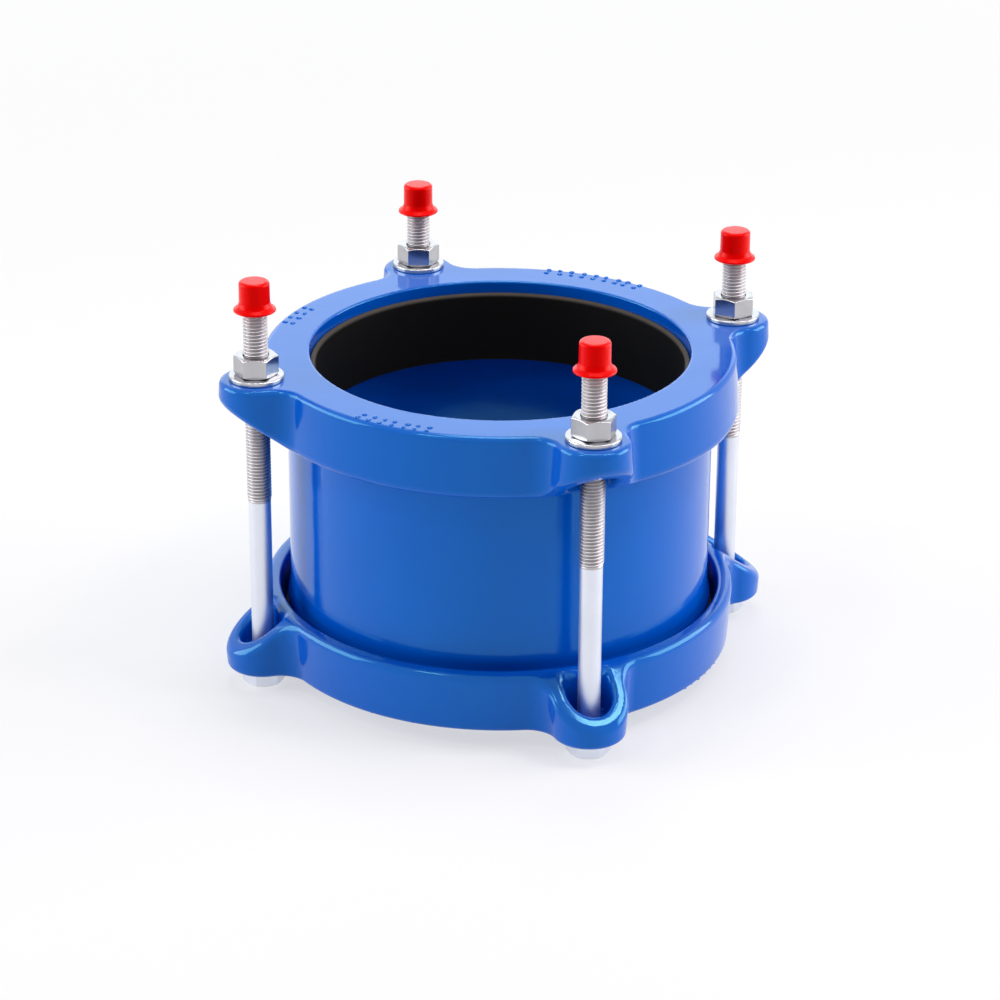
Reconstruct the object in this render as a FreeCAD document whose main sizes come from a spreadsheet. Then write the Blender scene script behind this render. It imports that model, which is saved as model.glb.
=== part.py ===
import FreeCAD, Part
import math
import os
import Sketcher

# Universal pipe coupling, standing on its four bolt heads, millimetres, +Z up.
# Origin: on the pipe axis, in the plane of the undersides of the bolt heads.

doc = FreeCAD.newDocument("PipeCoupling")
sheet = doc.addObject("Spreadsheet::Sheet", "Sizes")

sizes = [
    ("RingBoreRadius", 94.0, "opening in the web of an end ring, which lets the pipe through"),
    ("FaceToFace", 153.0, "outer face of one end ring to outer face of the other, as supplied"),
    ("ShelfWidth", 16.2, "web of an end ring, from its opening to the bore of the skirt"),
    ("WebThickness", 8.0, "flat end wall that presses on the gasket"),
    ("SkirtWall", 6.3, "bore of the skirt, at the web, to the outer wall, at the outer face"),
    ("SkirtDraft", 1.5, "degrees, inside of the skirt"),
    ("RingHeight", 30.5, "outer face to the rim of the skirt"),
    ("CastingDraft", 3.75, "degrees, outer walls of the end ring and of its lugs"),
    ("FaceBreak", 1.5, "broken edge round the outer face"),
    ("RimBreak", 1.0, "broken inner edge of the rim"),
    ("RimShoulder", 3.6, "rim lost before it starts to turn down"),
    ("RimCrownRadius", 7.0, "turn from the flat rim into the slope of the lugs"),
    ("LugReach", 8.5, "outer wall of an end ring to the bolt axis, at the outer face"),
    ("LugEndRadius", 18.0, "lug round the bolt axis, at the outer face"),
    ("LugFlareRadius", 14.0, "hollow corner between lug and outer wall"),
    ("LugSlope", 37.0, "degrees, fall of the lug from the rim to its outer end"),
    ("LugWall", 7.4, "round end of a lug to the hollow inside it"),
    ("LugRoom", 1.2, "thread of the bolt to the foot of the hollow in the lug, on the pipe side"),
    ("LugCorner", 3.0, "upright corners of the hollow in a lug"),
    ("LugDraft", 1.5, "degrees, walls of the hollow in a lug"),
    ("BoltHolePlay", 0.75, "radial play of the bolt in a lug"),
    ("FlareGap", 3.2, "bore of the skirt to the flare of the sleeve"),
    ("FlareRise", 1.5, "height of the sleeve's flare above its middle"),
    ("FlareLength", 7.0, "end of the sleeve that flares on the outside"),
    ("SleeveWall", 5.5, "wall of the middle of the sleeve"),
    ("MouthWall", 3.4, "wall at the edge of the sleeve"),
    ("MouthLength", 20.0, "cone inside each end of the sleeve"),
    ("SeatGap", 0.3, "wedge of a gasket to the cone of the sleeve"),
    ("TakeUp", 6.3, "free travel from the shoulder of the gasket to the end of the sleeve"),
    ("HeelGap", 1.7, "heel of the gasket to the bore of the skirt"),
    ("HeelThickness", 7.0, "shoulder of the gasket, from the web"),
    ("WedgeLength", 27.6, "shoulder of the gasket to its inner end"),
    ("LipGap", 0.3, "collar of the gasket to the opening of the ring"),
    ("LipWall", 2.7, "collar of the gasket, whose inside is the way in for the pipe"),
    ("LipStand", 2.1, "height of that collar above the heel"),
    ("BoltRadius", 6.0, "outside of the thread"),
    ("ShankRelief", 0.5, "plain part of the bolt, under the outside of the thread"),
    ("ThreadLength", 108.0, "threaded part of the bolt"),
    ("BoltSpare", 31.5, "bolt above its nut, as supplied"),
    ("BoltEndBreak", 1.0, "broken edge at the end of the bolt"),
    ("HexAcrossFlats", 19.0, "bolt heads and nuts"),
    ("HeadHeight", 9.0, "bolt head"),
    ("NutHeight", 10.0, "nut"),
    ("HexChamfer", 20.0, "degrees, turned corners of the heads and nuts"),
    ("HexChamferDrop", 1.0, "height of the turned corners"),
    ("ThreadClearance", 0.06, "radial play between the bolt and what turns or slides on its thread"),
    ("WasherRadius", 13.4, "outside of the washer"),
    ("WasherThickness", 2.5, "washer"),
    ("WasherPlay", 0.6, "radial play of the bolt in the washer"),
    ("CapWall", 1.44, "straight wall of the thread cap"),
    ("CapHeight", 15.0, "thread cap"),
    ("CapTopThickness", 1.2, "end wall of the thread cap"),
    ("CapTopBreak", 1.0, "upper edge of the thread cap"),
    ("CapFlareRise", 2.9, "lower edge of the thread cap, outside its straight wall"),
    ("CapFlareHeight", 4.5, "flared skirt of the thread cap"),
    ("CapEdgeThickness", 1.0, "lower edge of the thread cap, upright"),
]
for row, (alias, number, note) in enumerate(sizes, start=1):
    sheet.set(f"A{row}", alias)
    sheet.set(f"B{row}", str(number))
    sheet.setAlias(f"B{row}", alias)
    sheet.set(f"C{row}", note)

# Each side of the coupling, a quarter turn apart from +X on: how its bolt and its nut happen to be
# turned, in degrees, and how far its thread cap is from being pushed fully home.
sides = [
    {"name": "right", "boltTurn": 39.7, "nutTurn": 11.0, "capLift": 1.4},
    {"name": "back", "boltTurn": 20.0, "nutTurn": 41.5, "capLift": 0.0},
    {"name": "left", "boltTurn": 51.7, "nutTurn": 40.5, "capLift": 4.7},
    {"name": "front", "boltTurn": 39.7, "nutTurn": 52.5, "capLift": 3.9},
]
for index, side in enumerate(sides):
    row = len(sizes) + 2 + index
    side["angle"] = 360 / len(sides) * index
    sheet.set(f"A{row}", f"{side['name']} bolt: its turn, turn of its nut, lift of its cap")
    for column, key, alias in (("B", "boltTurn", "BoltTurn"), ("C", "nutTurn", "NutTurn"), ("D", "capLift", "CapLift")):
        sheet.set(f"{column}{row}", str(side[key]))
        sheet.setAlias(f"{column}{row}", alias + side["name"].capitalize())
doc.recompute()

# Sizes that follow from those on the sheet
skirtBore = "(Sizes.RingBoreRadius + Sizes.ShelfWidth)"
outerWall = f"({skirtBore} + Sizes.SkirtWall)"
boltCircle = f"({outerWall} + Sizes.LugReach)"
hollowEnd = "(Sizes.LugEndRadius - Sizes.LugWall)"
hollowFoot = f"({boltCircle} - Sizes.BoltRadius - Sizes.LugRoom)"
skirtDepth = "(Sizes.RingHeight - Sizes.WebThickness)"
flare = f"({skirtBore} - Sizes.FlareGap)"
sleeveOutside = f"({flare} - Sizes.FlareRise)"
sleeveBore = f"({sleeveOutside} - Sizes.SleeveWall)"
mouth = f"({flare} - Sizes.MouthWall)"
shoulder = "(Sizes.WebThickness + Sizes.HeelThickness)"
sleeveHalf = f"(Sizes.FaceToFace / 2 - {shoulder} - Sizes.TakeUp)"
hexCorner = "Sizes.HexAcrossFlats / sqrt(3)"
threadBore = "(Sizes.BoltRadius + Sizes.ThreadClearance)"
upperFace = "(Sizes.HeadHeight + Sizes.FaceToFace)"
nutSeat = f"({upperFace} + Sizes.WasherThickness)"
boltTop = f"({nutSeat} + Sizes.NutHeight + Sizes.BoltSpare)"

# two heights closer than this count as one
tolerance = 1e-4


def measure(expression):
    # the number that an expression on the sheet gives now
    result = sheet.evalExpression(expression)
    return float(getattr(result, "Value", result))


def newBody(label):
    body = doc.addObject("PartDesign::Body", label)
    body.Label = label
    return body


def originPart(body, role):
    return next(o for o in body.Origin.OriginFeatures if o.Role == role)


def newSketch(body, name, role="XY_Plane", lift=None):
    sketch = body.newObject("Sketcher::SketchObject", name)
    sketch.AttachmentSupport = [(originPart(body, role), "")]
    sketch.MapMode = "FlatFace"
    if lift:
        sketch.setExpression("AttachmentOffset.Base.z", lift)
    return sketch


def constrain(sketch, name, kind, where, expression):
    # a dimension that follows the sheet
    number = measure(expression)
    if kind == "Angle":
        number = math.radians(number)
    index = sketch.addConstraint(Sketcher.Constraint(kind, *where, number))
    sketch.renameConstraint(index, name)
    sketch.setExpression(f"Constraints.{name}", expression)


def place(sketch, name, curve, end, across, up):
    # holds one end of a curve at a distance across and up from the sketch's origin
    for suffix, kind, axis, expression in (("X", "DistanceX", -2, across), ("Y", "DistanceY", -1, up)):
        if expression == "0":
            sketch.addConstraint(Sketcher.Constraint("PointOnObject", curve, end, axis))
        else:
            constrain(sketch, name + suffix, kind, (-1, 1, curve, end), expression)


def drawCorners(sketch, corners):
    # a closed outline of straight lines through corners given as expressions
    points = [FreeCAD.Vector(measure(across), measure(up), 0) for across, up in corners]
    lines = [Part.LineSegment(a, b) for a, b in zip(points, points[1:] + points[:1])]
    sketch.addGeometry(lines, False)
    for i, (across, up) in enumerate(corners):
        sketch.addConstraint(Sketcher.Constraint("Coincident", i, 2, (i + 1) % len(corners), 1))
        place(sketch, f"Corner{i}", i, 1, across, up)


def drawCircle(sketch, name, radius, across="0"):
    centre = FreeCAD.Vector(measure(across), 0, 0)
    circle = sketch.addGeometry(Part.Circle(centre, FreeCAD.Vector(0, 0, 1), measure(radius)), False)
    constrain(sketch, name, "Radius", (circle,), radius)
    place(sketch, name + "Centre", circle, 3, across, "0")


def arc(centre, radius, start, end):
    # counter-clockwise, angles in radians
    circle = Part.Circle(FreeCAD.Vector(*centre, 0), FreeCAD.Vector(0, 0, 1), radius)
    return Part.ArcOfCircle(circle, start, end)


def revolve(body, kind, name, sketch):
    feature = body.newObject("PartDesign::" + kind, name)
    feature.Profile = sketch
    feature.ReferenceAxis = (sketch, ["V_Axis"])
    feature.Angle = 360.0
    return feature


def extrude(body, kind, name, sketch, length, reverse=False, taper=None):
    feature = body.newObject("PartDesign::" + kind, name)
    feature.Profile = sketch
    feature.setExpression("Length", length)
    feature.Reversed = reverse
    if taper:
        feature.setExpression("TaperAngle", taper)
    return feature


def breakEdges(body, name, base, height, size):
    # chamfers every edge of a feature that lies flat at one height
    doc.recompute()
    level = measure(height)
    edges = []
    for number, edge in enumerate(base.Shape.Edges, start=1):
        if all(math.isclose(z, level, abs_tol=tolerance) for z in (edge.BoundBox.ZMin, edge.BoundBox.ZMax)):
            edges.append(f"Edge{number}")
    feature = body.newObject("PartDesign::Chamfer", name)
    feature.Base = (base, edges)
    feature.setExpression("Size", size)
    return feature


def roundLugs(body, name, originals):
    # the same features at every lug
    pattern = body.newObject("PartDesign::PolarPattern", name)
    pattern.Originals = originals
    pattern.Axis = (originPart(body, "Z_Axis"), [""])
    pattern.Angle = 360.0
    pattern.Occurrences = len(sides)
    body.Tip = pattern
    return pattern


def drawRingOutline(sketch):
    # outer wall, hollow flares and round lug ends as one tangent chain, seen on the outer face
    wall = measure(outerWall)
    reach = measure(boltCircle)
    end = measure("Sizes.LugEndRadius")
    hollow = measure("Sizes.LugFlareRadius")
    hollowAcross = ((wall + hollow) ** 2 - (end + hollow) ** 2 + reach**2) / (2 * reach)
    hollowUp = math.sqrt((wall + hollow) ** 2 - hollowAcross**2)
    fromRing = math.atan2(hollowUp, hollowAcross)
    fromLug = math.atan2(hollowUp, hollowAcross - reach)
    quarter = math.pi / 2
    tangents = []
    for side in range(4):
        turn = side * quarter

        def turned(x, y):
            return (x * math.cos(turn) - y * math.sin(turn), x * math.sin(turn) + y * math.cos(turn))

        curves = [
            arc(turned(hollowAcross, -hollowUp), hollow, turn + math.pi - fromLug, turn + math.pi - fromRing),
            arc(turned(reach, 0), end, turn - fromLug, turn + fromLug),
            arc(turned(hollowAcross, hollowUp), hollow, turn + math.pi + fromRing, turn + math.pi + fromLug),
            arc((0, 0), wall, turn + fromRing, turn + quarter - fromRing),
        ]
        first = sketch.addGeometry(curves, False)[0]
        before, lug, after, ring = range(first, first + 4)
        following = (first + 4) % 16
        # an arc's ends are 1 at its start and 2 at its end, going counter-clockwise
        tangents += [(before, 1, lug, 1), (lug, 2, after, 2), (after, 1, ring, 1), (ring, 2, following, 2)]
        sketch.addConstraint(Sketcher.Constraint("Coincident", ring, 3, -1, 1))
        sketch.addConstraint(Sketcher.Constraint("PointOnObject", lug, 3, -1 if side % 2 == 0 else -2))
    for first, firstEnd, second, secondEnd in tangents:
        sketch.addConstraint(Sketcher.Constraint("Tangent", first, firstEnd, second, secondEnd))
    for side in range(4):
        before, lug, after, ring = range(4 * side, 4 * side + 4)
        kind, sign = ("DistanceX", "DistanceY")[side % 2], "" if side < 2 else "-"
        constrain(sketch, f"Reach{side}", kind, (-1, 1, lug, 3), sign + boltCircle)
        constrain(sketch, f"LugEnd{side}", "Radius", (lug,), "Sizes.LugEndRadius")
        constrain(sketch, f"Wall{side}", "Radius", (ring,), outerWall)
        constrain(sketch, f"FlareBefore{side}", "Radius", (before,), "Sizes.LugFlareRadius")
        constrain(sketch, f"FlareAfter{side}", "Radius", (after,), "Sizes.LugFlareRadius")


def drawSlope(sketch):
    # what is cut off round the rim: a turned crown that runs into the slope of the lugs
    crown = f"{outerWall} + Sizes.RingHeight * tan(Sizes.CastingDraft) - Sizes.RimShoulder"
    beyond = f"{boltCircle} + 2 * Sizes.LugEndRadius"
    height = measure("Sizes.RingHeight")
    radius = measure("Sizes.RimCrownRadius")
    slope = math.radians(measure("Sizes.LugSlope"))
    centre = FreeCAD.Vector(measure(crown), height - radius, 0)
    top = centre + FreeCAD.Vector(0, radius, 0)
    leave = centre + FreeCAD.Vector(math.sin(slope), math.cos(slope), 0) * radius
    outX = measure(beyond)
    foot = FreeCAD.Vector(outX, leave.y - (outX - leave.x) * math.tan(slope), 0)
    corner = FreeCAD.Vector(outX, height, 0)
    crownArc = arc((centre.x, centre.y), radius, math.pi / 2 - slope, math.pi / 2)
    lines = [Part.LineSegment(leave, foot), Part.LineSegment(foot, corner), Part.LineSegment(corner, top)]
    sketch.addGeometry([crownArc] + lines, False)
    rules = [
        ("Tangent", 0, 1, 1, 1),
        ("Coincident", 1, 2, 2, 1),
        ("Coincident", 2, 2, 3, 1),
        ("Tangent", 3, 2, 0, 2),
        ("Vertical", 2),
        ("Horizontal", 3),
    ]
    for rule in rules:
        sketch.addConstraint(Sketcher.Constraint(*rule))
    place(sketch, "Corner", 2, 2, beyond, "Sizes.RingHeight")
    constrain(sketch, "CrownStart", "DistanceX", (-1, 1, 3, 2), crown)
    constrain(sketch, "CrownRadius", "Radius", (0,), "Sizes.RimCrownRadius")
    constrain(sketch, "Fall", "Angle", (1,), "-Sizes.LugSlope")


def drawHollow(sketch):
    # hollow of one lug: round outer end, straight sides, rounded corners, foot that follows the skirt
    reach = measure(boltCircle)
    half = measure(hollowEnd)
    foot = measure(hollowFoot)
    corner = measure("Sizes.LugCorner")
    cornerUp = half - corner
    cornerAcross = math.sqrt((foot + corner) ** 2 - cornerUp**2)
    spread = math.atan2(cornerUp, cornerAcross)
    quarter = math.pi / 2
    lower, end, upper, upperCorner, footArc, lowerCorner = range(6)
    curves = [
        Part.LineSegment(FreeCAD.Vector(cornerAcross, -half, 0), FreeCAD.Vector(reach, -half, 0)),
        arc((reach, 0), half, -quarter, quarter),
        Part.LineSegment(FreeCAD.Vector(reach, half, 0), FreeCAD.Vector(cornerAcross, half, 0)),
        arc((cornerAcross, cornerUp), corner, quarter, math.pi + spread),
        arc((0, 0), foot, -spread, spread),
        arc((cornerAcross, -cornerUp), corner, math.pi - spread, 3 * quarter),
    ]
    sketch.addGeometry(curves, False)
    rules = [
        ("Tangent", lower, 2, end, 1),
        ("Tangent", end, 2, upper, 1),
        ("Tangent", upper, 2, upperCorner, 1),
        ("Tangent", upperCorner, 2, footArc, 2),
        ("Tangent", footArc, 1, lowerCorner, 1),
        ("Tangent", lowerCorner, 2, lower, 1),
        ("Coincident", footArc, 3, -1, 1),
        ("Horizontal", lower),
        ("Horizontal", upper),
        ("Equal", upperCorner, lowerCorner),
    ]
    for rule in rules:
        sketch.addConstraint(Sketcher.Constraint(*rule))
    place(sketch, "BoltAxis", end, 3, boltCircle, "0")
    constrain(sketch, "HalfWidth", "Radius", (end,), hollowEnd)
    constrain(sketch, "Foot", "Radius", (footArc,), hollowFoot)
    constrain(sketch, "Corner", "Radius", (upperCorner,), "Sizes.LugCorner")


def endRing(label):
    # a casting, modelled with its outer face at z = 0 and its skirt pointing up
    body = newBody(label)
    outline = newSketch(body, label + "_outline")
    drawRingOutline(outline)
    doc.recompute()
    bulk = extrude(body, "Pad", label + "_bulk", outline, "Sizes.RingHeight", taper="Sizes.CastingDraft")
    breakEdges(body, label + "_face_break", bulk, "0", "Sizes.FaceBreak")

    slope = newSketch(body, label + "_slope", "XZ_Plane")
    drawSlope(slope)
    doc.recompute()
    revolve(body, "Groove", label + "_slope_cut", slope)

    rimBore = f"{skirtBore} + {skirtDepth} * tan(Sizes.SkirtDraft)"
    cavity = newSketch(body, label + "_cavity", "XZ_Plane")
    corners = [
        ("0", "0"),
        ("Sizes.RingBoreRadius", "0"),
        ("Sizes.RingBoreRadius", "Sizes.WebThickness"),
        (skirtBore, "Sizes.WebThickness"),
        (f"{rimBore} - Sizes.RimBreak * tan(Sizes.SkirtDraft)", "Sizes.RingHeight - Sizes.RimBreak"),
        (f"{rimBore} + Sizes.RimBreak", "Sizes.RingHeight"),
        ("0", "Sizes.RingHeight"),
    ]
    drawCorners(cavity, corners)
    doc.recompute()
    revolve(body, "Groove", label + "_cavity_cut", cavity)

    hollow = newSketch(body, label + "_hollow", lift="Sizes.WebThickness")
    drawHollow(hollow)
    doc.recompute()
    hollowCut = extrude(body, "Pocket", label + "_hollow_cut", hollow, skirtDepth, True, "Sizes.LugDraft")
    hole = newSketch(body, label + "_hole")
    drawCircle(hole, "Hole", "Sizes.BoltRadius + Sizes.BoltHolePlay", boltCircle)
    holeCut = extrude(body, "Pocket", label + "_hole_cut", hole, "Sizes.WebThickness", True)
    doc.recompute()
    roundLugs(body, label + "_lugs", [hollowCut, holeCut])
    return body


def sleeve(label):
    # a turned profile, symmetrical about the middle of the coupling, with a cone in each mouth
    body = newBody(label)
    upper = [
        (sleeveOutside, f"{sleeveHalf} - Sizes.FlareLength"),
        (flare, sleeveHalf),
        (mouth, sleeveHalf),
        (sleeveBore, f"{sleeveHalf} - Sizes.MouthLength"),
    ]
    lower = [(across, f"-({up})") for across, up in reversed(upper)]
    sketch = newSketch(body, label + "_profile", "XZ_Plane")
    drawCorners(sketch, upper + lower)
    doc.recompute()
    revolve(body, "Revolution", label + "_wall", sketch)
    body.setExpression("Placement.Base.z", "Sizes.HeadHeight + Sizes.FaceToFace / 2")
    return body


def gasket(label):
    # a wedge ring, modelled like its end ring: outer face of the ring at z = 0
    body = newBody(label)
    collar = "Sizes.RingBoreRadius - Sizes.LipGap"
    inside = f"{collar} - Sizes.LipWall"
    lipTop = "Sizes.WebThickness - Sizes.LipStand"
    heel = f"{skirtBore} - Sizes.HeelGap"
    toeReach = f"{shoulder} + Sizes.WedgeLength"
    taper = f"({mouth} - {sleeveBore}) / Sizes.MouthLength"
    wedge = f"{mouth} - Sizes.SeatGap"
    sketch = newSketch(body, label + "_profile", "XZ_Plane")
    corners = [
        (inside, lipTop),
        (collar, lipTop),
        (collar, "Sizes.WebThickness"),
        (heel, "Sizes.WebThickness"),
        (heel, shoulder),
        (f"{wedge} + Sizes.TakeUp * {taper}", shoulder),
        (f"{wedge} - (Sizes.WedgeLength - Sizes.TakeUp) * {taper}", toeReach),
        (inside, toeReach),
    ]
    drawCorners(sketch, corners)
    doc.recompute()
    revolve(body, "Revolution", label + "_wedge", sketch)
    return body


def putLow(body):
    # outer face down, on top of the bolt heads
    body.setExpression("Placement.Base.z", "Sizes.HeadHeight")


def putHigh(body):
    # turned over about X, outer face up
    body.Placement = FreeCAD.Placement(FreeCAD.Vector(), FreeCAD.Rotation(FreeCAD.Vector(1, 0, 0), 180))
    body.setExpression("Placement.Base.z", upperFace)


def putOnBolt(body, side, lift=None, turn=None):
    # on the bolt axis of one side, raised and turned by expressions
    body.setExpression("Placement.Base.x", f"{boltCircle} * cos({side['angle']})")
    body.setExpression("Placement.Base.y", f"{boltCircle} * sin({side['angle']})")
    if lift:
        body.setExpression("Placement.Base.z", lift)
    if turn:
        body.setExpression("Placement.Rotation.Angle", turn)


def drawHexagon(sketch):
    # two corners on the sketch's horizontal axis
    flats = "Sizes.HexAcrossFlats"
    corners = [
        (hexCorner, "0"),
        (f"{hexCorner} / 2", f"{flats} / 2"),
        (f"-{hexCorner} / 2", f"{flats} / 2"),
        (f"-{hexCorner}", "0"),
        (f"-{hexCorner} / 2", f"-{flats} / 2"),
        (f"{hexCorner} / 2", f"-{flats} / 2"),
    ]
    drawCorners(sketch, corners)


def turnCorners(body, name, face, inwards):
    # turns the corners of a hexagon at its face; inwards is the sign of the way into the solid
    inset = f"{hexCorner} - Sizes.HexChamferDrop / tan(Sizes.HexChamfer)"
    beyond = f"{hexCorner} + Sizes.HexChamferDrop"
    sketch = newSketch(body, name + "_profile", "XZ_Plane")
    drawCorners(sketch, [(inset, face), (beyond, face), (hexCorner, f"{face} {inwards} Sizes.HexChamferDrop")])
    doc.recompute()
    return revolve(body, "Groove", name, sketch)


def bolt(side):
    label = "bolt_" + side["name"]
    body = newBody(label)
    hexagon = newSketch(body, label + "_hexagon")
    drawHexagon(hexagon)
    doc.recompute()
    extrude(body, "Pad", label + "_head", hexagon, "Sizes.HeadHeight")
    turnCorners(body, label + "_head_corners", "0", "+")
    shank = newSketch(body, label + "_shank_circle")
    drawCircle(shank, "Shank", "Sizes.BoltRadius - Sizes.ShankRelief")
    extrude(body, "Pad", label + "_shank", shank, boltTop)
    thread = newSketch(body, label + "_thread_circle", lift=f"{boltTop} - Sizes.ThreadLength")
    drawCircle(thread, "Thread", "Sizes.BoltRadius")
    threaded = extrude(body, "Pad", label + "_thread", thread, "Sizes.ThreadLength")
    breakEdges(body, label + "_end_break", threaded, boltTop, "Sizes.BoltEndBreak")
    putOnBolt(body, side, None, f"Sizes.BoltTurn{side['name'].capitalize()}")
    return body


def nut(side):
    label = "nut_" + side["name"]
    body = newBody(label)
    hexagon = newSketch(body, label + "_hexagon")
    drawHexagon(hexagon)
    doc.recompute()
    extrude(body, "Pad", label + "_bulk", hexagon, "Sizes.NutHeight")
    turnCorners(body, label + "_lower_corners", "0", "+")
    turnCorners(body, label + "_upper_corners", "Sizes.NutHeight", "-")
    hole = newSketch(body, label + "_hole_circle")
    drawCircle(hole, "Hole", threadBore)
    extrude(body, "Pocket", label + "_hole", hole, "Sizes.NutHeight", True)
    putOnBolt(body, side, nutSeat, f"Sizes.NutTurn{side['name'].capitalize()}")
    return body


def washer(side):
    label = "washer_" + side["name"]
    body = newBody(label)
    disc = newSketch(body, label + "_circles")
    drawCircle(disc, "Outside", "Sizes.WasherRadius")
    drawCircle(disc, "Hole", "Sizes.BoltRadius + Sizes.WasherPlay")
    doc.recompute()
    extrude(body, "Pad", label + "_disc", disc, "Sizes.WasherThickness")
    putOnBolt(body, side, upperFace)
    return body


def threadCap(side):
    # pushed over the end of the bolt, lower edge at z = 0
    label = "thread_cap_" + side["name"]
    body = newBody(label)
    outside = f"({threadBore} + Sizes.CapWall)"
    skirt = f"({outside} + Sizes.CapFlareRise)"
    ceiling = "Sizes.CapHeight - Sizes.CapTopThickness"
    sketch = newSketch(body, label + "_profile", "XZ_Plane")
    corners = [
        (threadBore, "0"),
        (skirt, "0"),
        (skirt, "Sizes.CapEdgeThickness"),
        (f"({outside} + {skirt} - Sizes.CapEdgeThickness) / 2", "Sizes.CapFlareHeight / 2"),
        (outside, "Sizes.CapFlareHeight"),
        (outside, "Sizes.CapHeight - Sizes.CapTopBreak"),
        (f"{outside} - Sizes.CapTopBreak", "Sizes.CapHeight"),
        ("0", "Sizes.CapHeight"),
        ("0", ceiling),
        (threadBore, ceiling),
    ]
    drawCorners(sketch, corners)
    doc.recompute()
    revolve(body, "Revolution", label + "_shell", sketch)
    lift = f"Sizes.CapLift{side['name'].capitalize()}"
    putOnBolt(body, side, f"{boltTop} - ({ceiling}) + {lift}")
    return body


lowerRing = endRing("lower_end_ring")
upperRing = endRing("upper_end_ring")
lowerGasket = gasket("lower_gasket")
upperGasket = gasket("upper_gasket")
putLow(lowerRing)
putLow(lowerGasket)
putHigh(upperRing)
putHigh(upperGasket)
pieces = [lowerRing, upperRing, lowerGasket, upperGasket, sleeve("centre_sleeve")]
for side in sides:
    pieces += [bolt(side), nut(side), washer(side), threadCap(side)]
doc.recompute()

for thing in doc.Objects:
    if "Invalid" in thing.State or "Error" in thing.State:
        raise RuntimeError(f"{thing.Label} failed: {thing.State}")
for piece in pieces:
    if piece.Shape.isNull() or not piece.Shape.isValid() or len(piece.Shape.Solids) != 1:
        raise RuntimeError(f"{piece.Label} is not one valid solid")

os.makedirs("parts", exist_ok=True)
for piece in pieces:
    piece.Shape.exportStep(f"parts/{piece.Label}.step")
    box = piece.Shape.BoundBox
    print(f"{piece.Label}: {piece.Shape.Volume:.0f} mm3, z {box.ZMin:.2f} to {box.ZMax:.2f}")
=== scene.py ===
import math

import bmesh
import bpy
from mathutils import Matrix, Vector


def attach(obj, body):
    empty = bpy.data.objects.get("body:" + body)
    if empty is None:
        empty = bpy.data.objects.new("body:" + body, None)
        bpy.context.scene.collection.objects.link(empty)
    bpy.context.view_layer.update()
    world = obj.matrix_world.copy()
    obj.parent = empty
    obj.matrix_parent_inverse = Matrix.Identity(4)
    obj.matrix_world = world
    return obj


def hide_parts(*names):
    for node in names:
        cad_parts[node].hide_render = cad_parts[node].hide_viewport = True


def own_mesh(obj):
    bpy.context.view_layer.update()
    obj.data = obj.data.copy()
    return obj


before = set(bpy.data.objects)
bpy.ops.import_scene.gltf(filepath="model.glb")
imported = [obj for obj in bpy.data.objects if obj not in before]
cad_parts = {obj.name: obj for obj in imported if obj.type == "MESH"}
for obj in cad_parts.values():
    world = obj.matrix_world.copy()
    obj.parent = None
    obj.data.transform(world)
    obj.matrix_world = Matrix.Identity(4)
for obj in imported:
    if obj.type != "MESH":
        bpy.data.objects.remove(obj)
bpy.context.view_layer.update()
mm = 0.001
# in millimetres: how far the bolts stand from the pipe axis, and how high the rings' outer faces lie
boltReach = 125.0
ringFaces = {"lower": 9.0, "upper": 162.0}
boltPlaces = {
    "front": Vector((0, -boltReach, 0)),
    "right": Vector((boltReach, 0, 0)),
    "back": Vector((0, boltReach, 0)),
    "left": Vector((-boltReach, 0, 0)),
}


class Term:
    # a value in a node tree: arithmetic on it adds Math nodes
    def __init__(self, graph, socket):
        self.graph = graph
        self.socket = socket

    def __add__(self, other):
        return self.graph.math("ADD", self, other)

    def __radd__(self, other):
        return self.graph.math("ADD", other, self)

    def __sub__(self, other):
        return self.graph.math("SUBTRACT", self, other)

    def __rsub__(self, other):
        return self.graph.math("SUBTRACT", other, self)

    def __mul__(self, other):
        return self.graph.math("MULTIPLY", self, other)

    def __rmul__(self, other):
        return self.graph.math("MULTIPLY", other, self)

    def __truediv__(self, other):
        return self.graph.math("DIVIDE", self, other)

    def __rtruediv__(self, other):
        return self.graph.math("DIVIDE", other, self)

    def __neg__(self):
        return self.graph.math("MULTIPLY", self, -1)

    def __abs__(self):
        return self.graph.math("ABSOLUTE", self)

    def __gt__(self, other):
        return self.graph.math("GREATER_THAN", self, other)

    def __lt__(self, other):
        return self.graph.math("LESS_THAN", self, other)

    def also(self, name):
        # another output of the same node
        return Term(self.graph, self.socket.node.outputs[name])


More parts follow.
